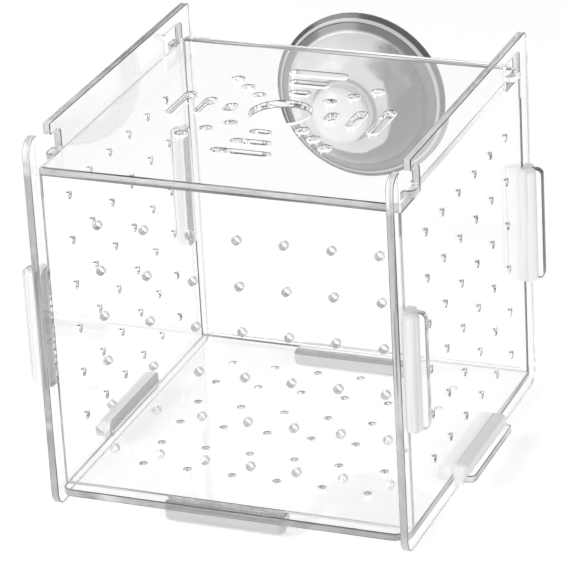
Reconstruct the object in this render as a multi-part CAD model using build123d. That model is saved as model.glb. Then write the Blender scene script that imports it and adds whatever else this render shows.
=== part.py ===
from build123d import *
import math
import os

# Aquarium breeder box: five clear sheet panels whose tabs are locked by eight
# white clips, a clear lid whose tabs slide under the side rims, a suction cup.
# Millimetres. X runs to the right, Y to the back, where the cup holds the
# tank's glass, and Z up. The finished pieces' origin is the middle of the
# whole outline, cup included, on the plane that the box rests on. Until they
# are written, Y 0 is the middle of the space between front and back panel.

# Sheet and inner space
sheet = 2.5
inner_width = 112.5
inner_depth = 109.0
wall_height = 104.0
rim_rise = 12.5

# How far the panels run past each other at the joints
side_lip = 5.5
side_drop = 3.6
floor_lip = 3.6
side_foot_round = 5.0
side_back_round = 3.0
floor_round = 3.5
edge_chamfer = 0.2

# Tabs that pass through slots in the neighbouring panel
tab_length = 38.0
tab_reach = 6.2
foot_tab_reach = 5.4
tab_round = 2.0
slot_gap = 0.15
wall_tab_height = 53.5
middle_shift = -2.4

# White clips, each a long ring pushed over a tab until it meets the panel
clip_height = 4.4
clip_wall = 3.4
clip_end_wall = 0.6
clip_back_wall = 1.5
clip_back_height = 2.6
clip_fit = 0.1
clip_round = 1.8
clip_back_round = 0.7
clip_end_round = 2.2
clip_corner_round = 1.2

# Notch, undercut and rear window that guide the lid's tabs
finger_width = 5.9
finger_round = 4.6
nose_place = 7.4
rim_band = 4.0
nose_round = 1.4
guide_round = 1.6
guide_foot_round = 0.8
guide_gap = 0.3
guide_floor_gap = 0.2

# Lid
lid_tab_length = 6.6
lid_tab_proud = 0.5
lid_tab_round = 2.0
lid_side_gap = 0.25
lid_round = 1.5
lid_travel = 7.0

# Pattern round the lid's feeding hole
feed_radius = 10.0
feed_shift_x = -1.5
feed_shift_y = 2.0
ring_first = 16.7
ring_step = 8.2
ring_count = 3
lid_slot_width = 4.0
lid_slot_first = 7.1
lid_slot_growth = 6.3
lid_hole_radius = 2.2

# Vent holes
vent_radius = 1.4
vent_pitch = 15.0
vent_top = 89.2
vent_edge = 4.5
side_vent_start = 18.2
front_vent_start = 17.6
floor_vent_start_x = 18.2
floor_vent_start_y = 17.4

# Suction cup
cup_height = 83.5
cup_hole_radius = 6.0
cup_fit = 0.1
knob_radius = 9.6
knob_depth = 5.6
knob_edge = 1.6
collar_radius = 9.2
collar_depth = 1.6
bell_radius = 23.4
bell_depth = 13.2
cup_radius = 29.0
cup_depth = 17.8
cup_lip = 1.0
lip_width = 2.4
bell_crown = 3.6
flange_step = 0.5
hollow_depth = 9.0
bead_radius = 0.5
bead_inset = 2.2

# Planes that the pieces share
floor_under = foot_tab_reach
floor_top = floor_under + sheet
side_foot = floor_under - side_drop
wall_top = floor_top + wall_height
rim_top = wall_top + rim_rise
half_width = inner_width / 2
half_depth = inner_depth / 2
wall_face = half_depth + sheet
side_end = wall_face + side_lip
floor_end = wall_face + floor_lip
side_face = half_width + sheet
wall_tab_middle = floor_top + wall_tab_height
half_tab = tab_length / 2
half_clip = half_tab + clip_fit + clip_end_wall
side_tab_end = side_face + tab_reach
nose_front = nose_place - half_depth
notch_front = finger_width - side_end
undercut_back = nose_front + lid_tab_length + 2 * guide_gap
front_tab_start = nose_front + guide_gap
rear_tab_start = half_depth - guide_gap - lid_tab_length
window_front = rear_tab_start - lid_travel - guide_gap
guide_floor = wall_top - guide_floor_gap
guide_top = rim_top - rim_band
outline_back = wall_face + cup_depth
origin_shift = (outline_back - side_end) / 2


def rectangle(low, high):
    """A rectangle between two corners."""
    centre = Pos((low[0] + high[0]) / 2, (low[1] + high[1]) / 2)
    return centre * Rectangle(high[0] - low[0], high[1] - low[1])


def rounded(sketch, corners, radius):
    """The sketch with the corners nearest the given points rounded."""
    picked = [sketch.vertices().sort_by_distance((x, y, 0))[0] for x, y in corners]
    return fillet(picked, radius)


def rounded_rectangle(low, high, radius):
    """A rectangle with four rounded corners."""
    corners = [(x, y) for x in (low[0], high[0]) for y in (low[1], high[1])]
    return rounded(rectangle(low, high), corners, radius)


def steps(start, end):
    """Places one vent pitch apart, from start to no further than end."""
    count = math.floor((end - start) / vent_pitch) + 1
    return [start + vent_pitch * index for index in range(count)]


def drilled(sketch, columns, rows):
    """The sketch with a vent hole at each crossing of the columns and rows."""
    holes = [Pos(x, y) * Circle(vent_radius) for x in columns for y in rows]
    return sketch - holes


def cut_plate(sketch, plane):
    """A panel cut from sheet, its outline's edges lightly broken."""
    plate = extrude(plane * sketch, sheet)
    faces = plate.faces().sort_by(Axis(plane.origin, plane.z_dir))
    rims = [edge for face in (faces[0], faces[-1]) for edge in face.outer_wire().edges()]
    return chamfer(rims, edge_chamfer)


def vent_rows():
    """Heights of the rows of holes in the upright panels, from the top down."""
    count = math.floor((vent_top - vent_edge) / vent_pitch) + 1
    return [floor_top + vent_top - vent_pitch * index for index in range(count)]


def tab_slot(low, high):
    """A slot for a tab whose section has these corners, with room all round."""
    roomy_low = (low[0] - slot_gap, low[1] - slot_gap)
    roomy_high = (high[0] + slot_gap, high[1] + slot_gap)
    return rectangle(roomy_low, roomy_high)


def side_outline():
    """A side panel: rounded foot, raised rim, notch, undercut and window."""
    outline = rectangle((-side_end, side_foot), (side_end, rim_top))
    foot_corners = [(-side_end, side_foot), (side_end, side_foot)]
    outline = rounded(outline, foot_corners, side_foot_round)
    outline = rounded(outline, [(side_end, rim_top)], side_back_round)
    outline = rounded(outline, [(-side_end, rim_top)], finger_round)
    guide = rectangle((notch_front, guide_floor), (nose_front, rim_top + sheet))
    guide += rectangle((notch_front, guide_floor), (undercut_back, guide_top))
    guide = rounded(guide, [(nose_front, guide_top)], nose_round)
    guide = rounded(guide, [(undercut_back, guide_top)], guide_round)
    guide = rounded(guide, [(undercut_back, guide_floor)], guide_foot_round)
    ends = (window_front, half_depth)
    window = rectangle((ends[0], guide_floor), (ends[1], guide_top))
    window = rounded(window, [(end, guide_top) for end in ends], guide_round)
    window = rounded(window, [(end, guide_floor) for end in ends], guide_foot_round)
    return outline - guide - window


def side_panel(side):
    """The left (-1) or right (1) panel, with slots for the panels that it holds."""
    sketch = side_outline()
    tab_foot = wall_tab_middle - half_tab
    tab_head = wall_tab_middle + half_tab
    sketch -= tab_slot((-wall_face, tab_foot), (-half_depth, tab_head))
    sketch -= tab_slot((half_depth, tab_foot), (wall_face, tab_head))
    sketch -= tab_slot((-half_tab, floor_under), (half_tab, floor_top))
    columns = steps(side_vent_start - half_depth, half_depth - vent_edge)
    sketch = drilled(sketch, columns, vent_rows())
    start = half_width if side > 0 else -side_face
    plane = Plane(origin=(start, 0, 0), x_dir=(0, 1, 0), z_dir=(1, 0, 0))
    return cut_plate(sketch, plane)


def wall_outline():
    """Front or back panel: two side tabs and one foot tab, all rounded."""
    outline = rectangle((-half_width, floor_top), (half_width, wall_top))
    side_tabs_low = (-side_tab_end, wall_tab_middle - half_tab)
    side_tabs_high = (side_tab_end, wall_tab_middle + half_tab)
    outline += rounded_rectangle(side_tabs_low, side_tabs_high, tab_round)
    foot_tab_low = (middle_shift - half_tab, 0)
    foot_tab_high = (middle_shift + half_tab, wall_tab_middle)
    outline += rounded_rectangle(foot_tab_low, foot_tab_high, tab_round)
    return outline


def front_panel():
    """Upright panel at the front, drilled all over."""
    columns = steps(front_vent_start - half_width, half_width - vent_edge)
    sketch = drilled(wall_outline(), columns, vent_rows())
    plane = Plane(origin=(0, -half_depth, 0), x_dir=(1, 0, 0), z_dir=(0, -1, 0))
    return cut_plate(sketch, plane)


def back_panel():
    """Upright panel at the back, with one hole for the suction cup."""
    cup_hole = Pos(middle_shift, floor_top + cup_height) * Circle(cup_hole_radius)
    plane = Plane(origin=(0, wall_face, 0), x_dir=(1, 0, 0), z_dir=(0, -1, 0))
    return cut_plate(wall_outline() - cup_hole, plane)


def bottom_panel():
    """Floor panel between the side panels, with a tab through each of them."""
    low = (-half_width, -floor_end)
    sketch = rounded_rectangle(low, (half_width, floor_end), floor_round)
    tabs_low = (-side_tab_end, -half_tab)
    sketch += rounded_rectangle(tabs_low, (side_tab_end, half_tab), tab_round)
    foot_left = middle_shift - half_tab
    foot_right = middle_shift + half_tab
    sketch -= tab_slot((foot_left, -wall_face), (foot_right, -half_depth))
    sketch -= tab_slot((foot_left, half_depth), (foot_right, wall_face))
    columns = steps(floor_vent_start_x - half_width, half_width - vent_edge)
    rows = steps(floor_vent_start_y - half_depth, half_depth - vent_edge)
    return cut_plate(drilled(sketch, columns, rows), Plane.XY.offset(floor_under))


def lid_pattern():
    """Feeding hole, slots that grow outwards on four sides, holes between."""
    pattern = Circle(feed_radius)
    for index in range(ring_count):
        radius = ring_first + ring_step * index
        length = lid_slot_first + lid_slot_growth * index
        slot = Pos(0, radius) * SlotOverall(length, lid_slot_width)
        hole = Rot(0, 0, 45) * Pos(0, radius) * Circle(lid_hole_radius)
        for turn in range(4):
            pattern += Rot(0, 0, 90 * turn) * slot
            pattern += Rot(0, 0, 90 * turn) * hole
    return Pos(feed_shift_x, feed_shift_y) * pattern


def lid_panel():
    """Lid on the front and back panels, with two tabs through each side."""
    edge = half_width - lid_side_gap
    reach = side_face + lid_tab_proud
    sketch = rounded_rectangle((-edge, -wall_face), (edge, wall_face), lid_round)
    for start in (front_tab_start, rear_tab_start):
        end = start + lid_tab_length
        sketch += rounded_rectangle((-reach, start), (reach, end), lid_tab_round)
    return cut_plate(sketch - lid_pattern(), Plane.XY.offset(wall_top))


def clip_wall_solid(low, high, height, corners, corner_round, top_round):
    """One long wall of a clip: upright corners rounded first, then its top edges."""
    plan = rounded(rectangle(low, high), corners, corner_round)
    wall = extrude(plan, height)
    rim = wall.faces().sort_by(Axis.Z)[-1].edges()
    outer = [edge for edge in rim if abs(edge.center().Y) > clip_fit]
    return fillet(outer, top_round)


def clip_solid():
    """A clip lying along X round a tab that stands on the plane Z 0."""
    back = -sheet - clip_back_wall
    near_corners = [(-half_clip, clip_wall), (half_clip, clip_wall)]
    far_corners = [(-half_clip, back), (half_clip, back)]
    bar = clip_wall_solid((-half_clip, 0), (half_clip, clip_wall), clip_height,
                          near_corners, clip_end_round, clip_round)
    bar += clip_wall_solid((-half_clip, back), (half_clip, 0), clip_back_height,
                           far_corners, clip_corner_round, clip_back_round)
    low = (-half_tab - clip_fit, -sheet - clip_fit)
    slit = rectangle(low, (half_tab + clip_fit, clip_fit))
    return bar - extrude(slit, clip_height)


def clip_at(point, outward, near):
    """A clip on a panel's outer face, its tall wall on the near side of the tab."""
    along = Vector(near).cross(Vector(outward))
    plane = Plane(origin=point, x_dir=along, z_dir=outward)
    return plane * clip_solid()


def clips():
    """All eight clips by name: four on the sides' upright slots, four low down."""
    placed = {}
    forward = (0, -1, 0)
    for side_name, side in (("left", -1), ("right", 1)):
        outward = (side, 0, 0)
        for end_name, face in (("front", -wall_face), ("back", half_depth)):
            point = (side * side_face, face, wall_tab_middle)
            placed[f"clip_{end_name}_{side_name}"] = clip_at(point, outward, forward)
        point = (side * side_face, 0, floor_top)
        placed[f"clip_bottom_{side_name}"] = clip_at(point, outward, (0, 0, 1))
    for end_name, face in (("front", -wall_face), ("back", half_depth)):
        point = (middle_shift, face, floor_under)
        placed[f"clip_bottom_{end_name}"] = clip_at(point, (0, 0, -1), forward)
    return placed


def cup_profile():
    """Half of the cup's section: x is the radius and y the way to the glass."""
    neck = cup_hole_radius - cup_fit
    seat = sheet + cup_fit
    rim_back = sheet + cup_depth
    rim_front = rim_back - cup_lip
    bell_end = seat + bell_depth
    hollow_end = rim_back - hollow_depth
    knob_top = (0, -knob_depth)
    knob_side = (knob_radius, -knob_edge)
    bell_start = (collar_radius, seat + collar_depth)
    bell_stop = (bell_radius, bell_end)
    bell_middle = (Vector(bell_start) + Vector(bell_stop)) / 2
    bell_mid = bell_middle + Vector(bell_crown, -bell_crown) / 2
    lip_inner = (cup_radius - lip_width, rim_back)
    hollow_top = (0, hollow_end)
    front = TangentArc(knob_top, knob_side, tangent=(1, 0))
    shank = Polyline(knob_side, (knob_radius, -cup_fit), (neck, -cup_fit), (neck, seat),
                     (collar_radius, seat), bell_start)
    bell = ThreePointArc(bell_start, bell_mid, bell_stop)
    flange = Polyline(bell_stop, (bell_radius, bell_end + flange_step), (cup_radius, rim_front),
                      (cup_radius, rim_back), lip_inner)
    hollow = TangentArc(hollow_top, lip_inner, tangent=(1, 0))
    axis = Line(hollow_top, knob_top)
    return make_face([front, shank, bell, flange, hollow, axis])


def suction_cup():
    """Soft cup: a knob inside the box, a neck in the back panel and a bell."""
    section = Plane(origin=(0, 0, 0), x_dir=(1, 0, 0), z_dir=(0, 0, 1)) * cup_profile()
    cup = revolve(section, Axis.Y)
    rim_front = sheet + cup_depth - cup_lip
    flange_start = sheet + cup_fit + bell_depth + flange_step
    bead_place = cup_radius - bead_inset
    share = (bead_place - bell_radius) / (cup_radius - bell_radius)
    bead_y = flange_start + share * (rim_front - flange_start)
    bead = Pos(0, bead_y, 0) * Rot(90, 0, 0) * Torus(bead_place, bead_radius)
    cup += bead
    return Pos(middle_shift, half_depth, floor_top + cup_height) * cup


os.makedirs("parts", exist_ok=True)

nodes = {
    "front_panel": front_panel(),
    "back_panel": back_panel(),
    "left_panel": side_panel(-1),
    "right_panel": side_panel(1),
    "bottom_panel": bottom_panel(),
    "lid_panel": lid_panel(),
    "suction_cup": suction_cup(),
}
nodes.update(clips())

for name, piece in nodes.items():
    export_step(Pos(0, -origin_shift, 0) * piece, f"parts/{name}.step")
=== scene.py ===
import math

import bpy
from mathutils import Matrix, Vector


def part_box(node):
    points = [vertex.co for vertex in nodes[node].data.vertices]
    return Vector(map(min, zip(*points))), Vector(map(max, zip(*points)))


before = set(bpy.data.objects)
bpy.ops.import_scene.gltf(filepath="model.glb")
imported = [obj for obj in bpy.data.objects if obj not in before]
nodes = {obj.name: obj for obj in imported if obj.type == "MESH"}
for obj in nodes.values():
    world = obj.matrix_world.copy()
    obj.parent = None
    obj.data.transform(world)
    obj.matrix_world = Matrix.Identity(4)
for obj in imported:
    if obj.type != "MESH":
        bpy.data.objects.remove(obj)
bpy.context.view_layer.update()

# Studio
# A matt white table and an even white surround, as for a product picture on
# white. The ceiling is dark to anything clear or shiny, so that edges, drilled
# holes and the soft cup have something to bend and mirror.
table_size = 12.0
table_white = (0.86, 0.86, 0.86, 1.0)
table_glow = 0.46
surround_light = 0.56
surround_white = (1, 1, 1, 1)
mirrored_white = (0.85, 0.85, 0.85, 1.0)
ceiling_grey = (0.09, 0.09, 0.09, 1.0)
ceiling_starts = 0.74
ceiling_full = 0.9
clear_bounces = 32
mirror_bounces = 16

studio = bpy.context.scene
studio.view_settings.view_transform = "Standard"
studio.cycles.max_bounces = clear_bounces
studio.cycles.transmission_bounces = clear_bounces
studio.cycles.transparent_max_bounces = clear_bounces
studio.cycles.glossy_bounces = mirror_bounces


def link(tree, from_socket, to_socket):
    """Joins two sockets."""
    tree.links.new(from_socket, to_socket)


def add_node(tree, kind, **settings):
    """Adds a node and sets its properties."""
    node = tree.nodes.new(kind)
    for name, value in settings.items():
        setattr(node, name, value)
    return node


def feed(tree, node, values):
    """Feeds a node's inputs, each from a socket or from plain numbers."""
    for place, value in values.items():
        if isinstance(value, bpy.types.NodeSocket):
            link(tree, value, node.inputs[place])
        else:
            node.inputs[place].default_value = value


def do_math(tree, operation, first, second=0.0):
    """One Math node on two sockets or plain numbers."""
    node = add_node(tree, "ShaderNodeMath", operation=operation)
    feed(tree, node, {0: first, 1: second})
    return node.outputs[0]


def do_range(tree, value, from_low, from_high, to_low=0.0, to_high=1.0):
    """Maps one range of numbers smoothly on another."""
    node = add_node(tree, "ShaderNodeMapRange", interpolation_type="SMOOTHSTEP")
    feed(tree, node, {
        "Value": value,
        "From Min": from_low,
        "From Max": from_high,
        "To Min": to_low,
        "To Max": to_high,
    })
    return node.outputs["Result"]


def do_mix(tree, share, first, second):
    """Mixes two colours, each a socket or four plain numbers."""
    node = add_node(tree, "ShaderNodeMix", data_type="RGBA")
    feed(tree, node, {0: share, 6: first, 7: second})
    return node.outputs[2]


def split(tree, vector):
    """The X, Y and Z of a vector."""
    node = add_node(tree, "ShaderNodeSeparateXYZ")
    link(tree, vector, node.inputs[0])
    return node.outputs


def new_material(name):
    """An empty node material and its output."""
    material = bpy.data.materials.new(name)
    material.use_nodes = True
    material.node_tree.nodes.clear()
    output = add_node(material.node_tree, "ShaderNodeOutputMaterial")
    return material, material.node_tree, output


bpy.ops.mesh.primitive_plane_add(size=table_size, location=(0, 0, 0))
table = bpy.context.object
table.name = "studio_table"
material, tree, output = new_material("table_white")
matt = add_node(tree, "ShaderNodeBsdfPrincipled")
matt.inputs["Base Color"].default_value = table_white
matt.inputs["Roughness"].default_value = 1.0
matt.inputs["Specular IOR Level"].default_value = 0.0
matt.inputs["Emission Color"].default_value = surround_white
matt.inputs["Emission Strength"].default_value = table_glow
link(tree, matt.outputs[0], output.inputs["Surface"])
table.data.materials.append(material)

world = bpy.data.worlds.new("white_surround")
studio.world = world
world.use_nodes = True
tree = world.node_tree
tree.nodes.clear()
rays = add_node(tree, "ShaderNodeLightPath").outputs
place = add_node(tree, "ShaderNodeTexCoord").outputs
height = split(tree, place["Generated"])["Z"]
overhead = do_range(tree, height, ceiling_starts, ceiling_full)
shiny = do_math(tree, "MAXIMUM", rays["Is Glossy Ray"], rays["Is Transmission Ray"])
seen = do_math(tree, "MAXIMUM", rays["Is Camera Ray"], shiny)
dark_share = do_math(tree, "MULTIPLY", overhead, shiny)
white = do_mix(tree, rays["Is Glossy Ray"], surround_white, mirrored_white)
colour = do_mix(tree, dark_share, white, ceiling_grey)
around = add_node(tree, "ShaderNodeBackground")
link(tree, colour, around.inputs["Color"])
soft = add_node(tree, "ShaderNodeBackground")
soft.inputs["Strength"].default_value = surround_light
both = add_node(tree, "ShaderNodeMixShader")
feed(tree, both, {0: seen, 1: soft.outputs[0], 2: around.outputs[0]})
output = add_node(tree, "ShaderNodeOutputWorld")
link(tree, both.outputs[0], output.inputs["Surface"])

# Lamps and camera
# One large soft lamp high on the left and a weaker one on the right give the
# clips and the cup their gentle shading. The camera stands to the right of
# the box's front and a little above it, with a long lens, as in the photo.
lamps = {
    "key_lamp": {"spot": (-0.8, -0.9, 0.8), "size": 0.7, "power": 7.5},
    "fill_lamp": {"spot": (0.9, -0.5, 0.6), "size": 0.7, "power": 2.6},
}
camera_turn = math.radians(22.72)
camera_rise = math.radians(24.34)
camera_roll = math.radians(-3.29)
camera_distance = 1.1513
camera_aim = Vector((-0.00435, -0.00428, 0.05681))
camera_lens = 234.4

for name, lamp in lamps.items():
    light = bpy.data.lights.new(name, "AREA")
    light.shape = "SQUARE"
    light.size = lamp["size"]
    light.energy = lamp["power"]
    stand = bpy.data.objects.new(name, light)
    stand.location = lamp["spot"]
    stand.rotation_mode = "QUATERNION"
    stand.rotation_quaternion = (-Vector(lamp["spot"])).to_track_quat("-Z", "Y")
    studio.collection.objects.link(stand)

camera_data = bpy.data.cameras.new("camera")
camera_data.lens = camera_lens
camera = bpy.data.objects.new("camera", camera_data)
back = Vector((
    math.sin(camera_turn) * math.cos(camera_rise),
    -math.cos(camera_turn) * math.cos(camera_rise),
    math.sin(camera_rise),
))
camera.location = camera_aim + back * camera_distance
level = (-back).to_track_quat("-Z", "Y").to_matrix().to_4x4()
roll = Matrix.Rotation(camera_roll, 4, "Z")
camera.rotation_mode = "QUATERNION"
camera.rotation_quaternion = (level @ roll).to_quaternion()
studio.collection.objects.link(camera)
studio.camera = camera

# Clear sheet panels
# The box is cut from clear cast acrylic with glass-bright faces. Each cut edge is given
# a painted glow between two arrises painted dark as shade, with lengthwise grey
# streaks.
sheet_thickness = 0.0025
sheet_ior = 1.49
sheet_clear = (0.997, 0.998, 0.998, 1.0)
drilled_clear = (0.995, 0.997, 0.997, 1.0)
edge_pale = (0.93, 0.935, 0.94, 1.0)
# Painted glow in the outer cut edges.
painted_edge_glow = (0.085, 0.086, 0.087, 1.0)
no_glow = (0, 0, 0, 1)
edge_haze = 0.28
edge_turned = 0.9
# Painted shade along the arrises, and its pale breaks.
arris_pale = (0.42, 0.423, 0.426, 1.0)
arris_starts = 0.66
arris_full = 0.86
streak_across = 420.0
streak_along = 14.0
streak_detail = 2.0
streak_starts = 0.46
streak_full = 0.72
stretch_scale = 22.0
stretch_starts = 0.47
stretch_full = 0.56
past_the_faces = 0.1


def do_vector(tree, operation, first, second=(0, 0, 0)):
    """One Vector Math node: the number of a dot product, or else a vector."""
    node = add_node(tree, "ShaderNodeVectorMath", operation=operation)
    feed(tree, node, {0: first, 1: second})
    return node.outputs["Value" if operation == "DOT_PRODUCT" else "Vector"]


def do_noise(tree, vector, scale, detail):
    """Soft noise between 0 and 1."""
    node = add_node(tree, "ShaderNodeTexNoise")
    feed(tree, node, {"Vector": vector, "Scale": scale, "Detail": detail})
    return node.outputs["Fac"]


def edge_group():
    """Tells a sheet's outer edges, drilled walls and arrises from its faces."""
    group = bpy.data.node_groups.new("cut_edge", "ShaderNodeTree")
    for name in ("Across", "Middle", "Reach", "Stretch"):
        group.interface.new_socket(name, in_out="INPUT", socket_type="NodeSocketVector")
    for name in ("Edge", "Drilled", "Arris", "Streak", "Stretches"):
        group.interface.new_socket(name, in_out="OUTPUT", socket_type="NodeSocketFloat")
    start = add_node(group, "NodeGroupInput").outputs
    end = add_node(group, "NodeGroupOutput")
    place = add_node(group, "ShaderNodeTexCoord").outputs

    facing = do_vector(group, "DOT_PRODUCT", place["Normal"], start["Across"])
    edge = do_math(group, "LESS_THAN", do_math(group, "ABSOLUTE", facing), edge_turned)
    link(group, edge, end.inputs["Edge"])

    away = do_vector(group, "SUBTRACT", place["Object"], start["Middle"])
    height = do_vector(group, "DOT_PRODUCT", away, start["Across"])
    height = do_math(group, "ABSOLUTE", height)
    height = do_math(group, "DIVIDE", height, sheet_thickness / 2)
    # The arrises, where the painted shade lines go.
    arris_shade = do_range(group, height, arris_starts, arris_full)
    link(group, arris_shade, end.inputs["Arris"])

    share = do_vector(group, "DIVIDE", away, start["Reach"])
    parts = split(group, do_vector(group, "ABSOLUTE", share))
    furthest = do_math(group, "MAXIMUM", parts["X"], parts["Y"])
    furthest = do_math(group, "MAXIMUM", furthest, parts["Z"])
    inside = do_math(group, "LESS_THAN", furthest, 1.0)
    link(group, do_math(group, "MULTIPLY", edge, inside), end.inputs["Drilled"])

    pulled = do_vector(group, "MULTIPLY", place["Object"], start["Stretch"])
    streak = do_noise(group, pulled, 1.0, streak_detail)
    streak = do_range(group, streak, streak_starts, streak_full)
    link(group, streak, end.inputs["Streak"])

    stretches = do_noise(group, place["Object"], stretch_scale, 0.0)
    stretches = do_range(group, stretches, stretch_starts, stretch_full)
    link(group, stretches, end.inputs["Stretches"])
    return group


cut_edge = edge_group()


def grey(value):
    """A plain grey as a colour."""
    return (value, value, value, 1.0)


def lets_lamps_through(tree, surface, tint, output):
    """Clear pieces cast only a pale shadow: lamp light goes straight through."""
    rays = add_node(tree, "ShaderNodeLightPath").outputs
    clear = add_node(tree, "ShaderNodeBsdfTransparent")
    link(tree, tint, clear.inputs["Color"])
    either = do_math(tree, "MAXIMUM", rays["Is Shadow Ray"], rays["Is Diffuse Ray"])
    chosen = add_node(tree, "ShaderNodeMixShader")
    feed(tree, chosen, {0: either, 1: surface.outputs[0], 2: clear.outputs[0]})
    link(tree, chosen.outputs[0], output.inputs["Surface"])


def acrylic(name, across, holes_within, finish):
    """Clear acrylic whose faces look along the given axis."""
    material, tree, output = new_material(name)
    cut = add_node(tree, "ShaderNodeGroup", node_tree=cut_edge)
    low, high = holes_within
    stretch = [streak_across if way else streak_along for way in across]
    feed(tree, cut, {
        "Across": across,
        "Middle": (low + high) / 2,
        "Reach": (high - low) / 2,
        "Stretch": stretch,
    })
    cut = cut.outputs

    outer = do_mix(tree, cut["Streak"], edge_pale, grey(finish["streak"]))
    # Painted shade: dark lines along both arrises of each outer edge, broken by pale
    # stretches, and grey rims round the drilled holes.
    arris_shade = do_mix(tree, cut["Stretches"], grey(finish["arris_shade"]), arris_pale)
    outer = do_mix(tree, cut["Arris"], outer, arris_shade)
    drilled = do_mix(tree, cut["Arris"], drilled_clear, grey(finish["hole_rim_shade"]))
    edge_colour = do_mix(tree, cut["Drilled"], outer, drilled)
    colour = do_mix(tree, cut["Edge"], sheet_clear, edge_colour)

    haze = do_range(tree, cut["Edge"], 0.0, 1.0, 0.0, edge_haze)
    clearer = edge_haze - finish["drilled_haze"]
    clearer = do_range(tree, cut["Drilled"], 0.0, 1.0, 0.0, clearer)
    haze = do_math(tree, "SUBTRACT", haze, clearer)

    # Painted glow: where an outer cut edge is neither arris, drilled wall nor streak,
    # it gives off a little light of its own.
    dull = do_math(tree, "MAXIMUM", cut["Arris"], cut["Drilled"])
    dull = do_math(tree, "MAXIMUM", dull, cut["Streak"])
    bright = do_math(tree, "SUBTRACT", cut["Edge"], dull)
    bright = do_math(tree, "MAXIMUM", bright, 0.0)
    glow = do_mix(tree, bright, no_glow, painted_edge_glow)

    glass = add_node(tree, "ShaderNodeBsdfPrincipled")
    feed(tree, glass, {
        "Base Color": colour,
        "Roughness": haze,
        "IOR": sheet_ior,
        "Transmission Weight": 1.0,
        "Emission Color": glow,
        "Emission Strength": 1.0,
    })
    lets_lamps_through(tree, glass, colour, output)
    return material


def repaint(piece, material):
    """Gives a CAD piece its finish."""
    piece.data.materials.clear()
    piece.data.materials.append(material)


def holes_box(panel, across, rim, top_rim):
    """The part of a panel inside its outer edges, where the holes are."""
    low, high = (Vector(corner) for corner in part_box(panel))
    for way in range(3):
        if across[way]:
            middle = (low[way] + high[way]) / 2
            low[way] = middle - past_the_faces
            high[way] = middle + past_the_faces
        else:
            low[way] += rim
            high[way] -= top_rim if way == 2 else rim
    return low, high


# The rims are the outer margins, in metres, that hold no hole. The haze is of the
# drilled walls, and the greys are of the streaks, of the painted shade along the
# arrises and of the painted shade round the drilled holes.
sideways, lengthways, level_ways = (1, 0, 0), (0, 1, 0), (0, 0, 1)
sheets = {
    "left_panel": {
        "name": "acrylic_left", "across": sideways, "rim": 0.008, "top_rim": 0.02,
        "drilled_haze": 0.06, "streak": 0.35, "arris_shade": 0.04, "hole_rim_shade": 0.2,
    },
    "right_panel": {
        "name": "acrylic_right", "across": sideways, "rim": 0.008, "top_rim": 0.02,
        "drilled_haze": 0.06, "streak": 0.35, "arris_shade": 0.06, "hole_rim_shade": 0.2,
    },
    "front_panel": {
        "name": "acrylic_front", "across": lengthways, "rim": 0.008, "top_rim": 0.008,
        "drilled_haze": 0.6, "streak": 0.4, "arris_shade": 0.08, "hole_rim_shade": 0.85,
    },
    "back_panel": {
        "name": "acrylic_back", "across": lengthways, "rim": 0.008, "top_rim": 0.008,
        "drilled_haze": 0.1, "streak": 0.1, "arris_shade": 0.02, "hole_rim_shade": 0.8,
    },
    "bottom_panel": {
        "name": "acrylic_floor", "across": level_ways, "rim": 0.009, "top_rim": 0.009,
        "drilled_haze": 0.05, "streak": 0.45, "arris_shade": 0.06, "hole_rim_shade": 0.05,
    },
    "lid_panel": {
        "name": "acrylic_lid", "across": level_ways, "rim": 0.009, "top_rim": 0.009,
        "drilled_haze": 0.04, "streak": 0.75, "arris_shade": 0.35, "hole_rim_shade": 0.06,
    },
}
for panel, finish in sheets.items():
    across = finish["across"]
    within = holes_box(panel, across, finish["rim"], finish["top_rim"])
    repaint(nodes[panel], acrylic(finish["name"], across, within, finish))

# Tab clips
# Eight long rings of milky white plastic, pushed over the panels' tabs to lock the box.
# Faint lines run along them. The foot on the panel is painted grey as shade, and the
# two clips under the floor are painted as a darker, shaded copy of the same white.
clip_white = 0.92
# The clips under the floor get a darker white as painted shade.
under_clip_shaded_white = 0.62
clip_warmth = 0.996
clip_foot_painted_shade = 0.45
clip_foot_starts = 0.7
clip_foot_full = 0.95
clip_roughness = 0.28
clip_milk = 0.2
milk_depth = 0.001
lines_grey = 0.78
lines_across = 520.0
lines_along = 12.0
lines_detail = 2.0
lines_start = 0.45
lines_full = 0.7


def make_milky(tree, shader, share):
    """Lets a little light into soft or white plastic."""
    feed(tree, shader, {
        "Subsurface Weight": share,
        "Subsurface Radius": (1.0, 1.0, 1.0),
        "Subsurface Scale": milk_depth,
    })


def clip_plastic(name, panel_way, along, white):
    """Milky plastic drawn out along one way, with painted shade towards the panel."""
    material, tree, output = new_material(name)
    place = add_node(tree, "ShaderNodeTexCoord").outputs
    stretch = [lines_along if way else lines_across for way in along]
    pulled = do_vector(tree, "MULTIPLY", place["Object"], stretch)
    lines = do_noise(tree, pulled, 1.0, lines_detail)
    lines = do_range(tree, lines, lines_start, lines_full)
    # Painted shade: the faces turned towards the panel are greyed.
    foot_shade = do_vector(tree, "DOT_PRODUCT", place["Normal"], panel_way)
    foot_shade = do_range(tree, foot_shade, clip_foot_starts, clip_foot_full)
    light = (white, white, white * clip_warmth, 1.0)
    colour = do_mix(tree, lines, light, grey(white * lines_grey))
    colour = do_mix(tree, foot_shade, colour, grey(clip_foot_painted_shade))
    milk = add_node(tree, "ShaderNodeBsdfPrincipled")
    feed(tree, milk, {"Base Color": colour, "Roughness": clip_roughness})
    make_milky(tree, milk, clip_milk)
    link(tree, milk.outputs[0], output.inputs["Surface"])
    return material


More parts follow.
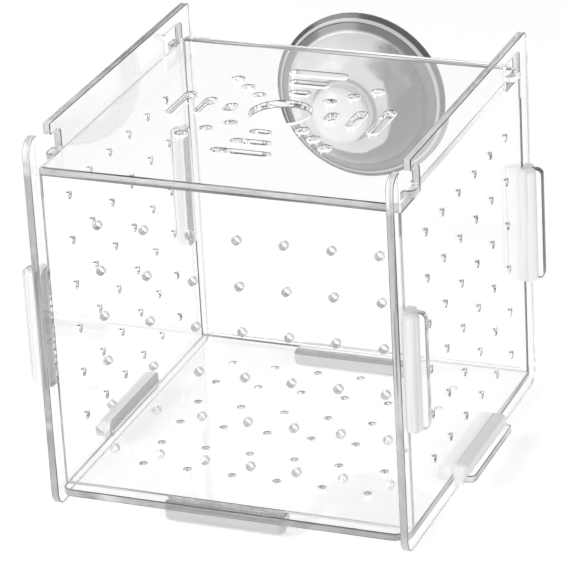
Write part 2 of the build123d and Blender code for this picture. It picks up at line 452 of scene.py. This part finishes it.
panel_on_the_right, panel_on_the_left, panel_above = (1, 0, 0), (-1, 0, 0), (0, 0, 1)
upright, front_to_back, side_to_side = (0, 0, 1), (0, 1, 0), (1, 0, 0)
clip_groups = {
    "clip_left_upright": (
        panel_on_the_right, upright, clip_white, ("clip_front_left", "clip_back_left"),
    ),
    "clip_right_upright": (
        panel_on_the_left, upright, clip_white, ("clip_front_right", "clip_back_right"),
    ),
    "clip_left_low": (
        panel_on_the_right, front_to_back, clip_white, ("clip_bottom_left",),
    ),
    "clip_right_low": (
        panel_on_the_left, front_to_back, clip_white, ("clip_bottom_right",),
    ),
    # Painted shade: the two clips under the floor use the same plastic at a darker
    # white.
    "clip_under_shaded": (
        panel_above, side_to_side, under_clip_shaded_white,
        ("clip_bottom_front", "clip_bottom_back"),
    ),
}
for name, (panel_way, along, white, clips) in clip_groups.items():
    material = clip_plastic(name, panel_way, along, white)
    for clip in clips:
        repaint(nodes[clip], material)

# Suction cup
# One soft clear PVC moulding, coloured with painted light and shade. A painted
# highlight lies on the bell's upper left and painted shade greys the rest, with a grey
# band of painted shade, a bead painted pale as a highlight and a rim painted dark as
# shade. The boss and knob are painted nearly white as a broad highlight, with a thin
# dark line round the knob.
cup_low, cup_high = (Vector(corner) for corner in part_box("suction_cup"))
cup_middle = (cup_low + cup_high) / 2
cup_radius = (cup_high.z - cup_low.z) / 2
cup_roughness = 0.16
cup_ior = 1.5
cup_milk = 0.15
bell_painted_shade = (0.16, 0.16, 0.163, 1.0)
bell_painted_light = (0.86, 0.86, 0.86, 1.0)
light_noise_scale = 3.2
light_noise_detail = 3.0
light_noise_share = 1.1
light_leftward = -0.8
light_upward = 0.75
painted_light_starts = 0.3
painted_light_full = 0.95
light_noise_middle = 0.5
band_share = 0.83
band_fade = 0.02
band_painted_shade = (0.22, 0.22, 0.223, 1.0)
boss_share = 0.56
boss_fade = 0.04
boss_ragged = 0.16
boss_painted_highlight = (0.74, 0.74, 0.74, 1.0)
knob_share = 0.36
knob_fade = 0.1
knob_painted_highlight = (0.93, 0.93, 0.93, 1.0)
knob_line_painted_shade = (0.36, 0.36, 0.36, 1.0)
knob_line_core = 0.01
knob_line_reach = 0.03
bead_share = 0.94
bead_painted_highlight = (0.7, 0.7, 0.7, 1.0)
bead_core = 0.008
bead_reach = 0.018
rim_starts = bead_share + 0.01
rim_full = bead_share + 0.025
rim_painted_shade = (0.09, 0.09, 0.092, 1.0)
hollow_grey = (0.6, 0.6, 0.603, 1.0)
hollow_cover = 0.75
hollow_starts = 0.05
hollow_full = 0.3


def thin_ring(tree, radius, share, core, reach):
    """One on a thin ring round the cup's middle, and nothing off it."""
    off = do_math(tree, "ABSOLUTE", do_math(tree, "SUBTRACT", radius, share))
    return do_range(tree, off, core, reach, 1.0, 0.0)


material, tree, output = new_material("soft_pvc")
place = add_node(tree, "ShaderNodeTexCoord").outputs
centred = add_node(tree, "ShaderNodeMapping", vector_type="TEXTURE")
feed(tree, centred, {
    "Vector": place["Object"],
    "Location": cup_middle,
    "Scale": (cup_radius, cup_radius, cup_radius),
})
parts = split(tree, centred.outputs[0])
radius = do_math(
    tree, "ADD",
    do_math(tree, "POWER", parts["X"], 2.0),
    do_math(tree, "POWER", parts["Z"], 2.0),
)
radius = do_math(tree, "SQRT", radius)
# Painted light and shade: the bell is lit white on its upper left, broken up by noise,
# and grey elsewhere.
light_noise = do_noise(tree, centred.outputs[0], light_noise_scale, light_noise_detail)

side = do_math(
    tree, "ADD",
    do_math(tree, "MULTIPLY", parts["X"], light_leftward),
    do_math(tree, "MULTIPLY", parts["Z"], light_upward),
)
side = do_math(tree, "ADD", side, do_math(tree, "MULTIPLY", light_noise, light_noise_share))
painted_light = do_range(tree, side, painted_light_starts, painted_light_full)
colour = do_mix(tree, painted_light, bell_painted_shade, bell_painted_light)

# Painted shade: a grey band round the bell.
band = do_range(tree, radius, band_share - band_fade, band_share + band_fade)
colour = do_mix(tree, band, colour, band_painted_shade)

# Painted highlight: the boss is whitened inside a ragged edge, and the knob more so.
ragged = do_math(tree, "SUBTRACT", light_noise, light_noise_middle)
ragged = do_math(tree, "MULTIPLY", ragged, boss_ragged)
boss = do_math(tree, "ADD", radius, ragged)
boss = do_range(tree, boss, boss_share - boss_fade, boss_share, 1.0, 0.0)
colour = do_mix(tree, boss, colour, boss_painted_highlight)

knob = do_range(tree, radius, knob_share - knob_fade, knob_share, 1.0, 0.0)
colour = do_mix(tree, knob, colour, knob_painted_highlight)
# Painted shade: a thin dark line round the knob.
knob_line = thin_ring(tree, radius, knob_share, knob_line_core, knob_line_reach)
colour = do_mix(tree, knob_line, colour, knob_line_painted_shade)

# Painted shade on the dark rim, and a painted highlight on the pale bead.
rim = do_range(tree, radius, rim_starts, rim_full)
colour = do_mix(tree, rim, colour, rim_painted_shade)
bead = thin_ring(tree, radius, bead_share, bead_core, bead_reach)
colour = do_mix(tree, bead, colour, bead_painted_highlight)

hollow = split(tree, place["Normal"])["Y"]
hollow = do_range(tree, hollow, hollow_starts, hollow_full, 0.0, hollow_cover)
colour = do_mix(tree, hollow, colour, hollow_grey)

soft_pvc = add_node(tree, "ShaderNodeBsdfPrincipled")
feed(tree, soft_pvc, {
    "Base Color": colour,
    "Roughness": cup_roughness,
    "IOR": cup_ior,
})
make_milky(tree, soft_pvc, cup_milk)
link(tree, soft_pvc.outputs[0], output.inputs["Surface"])
repaint(nodes["suction_cup"], material)
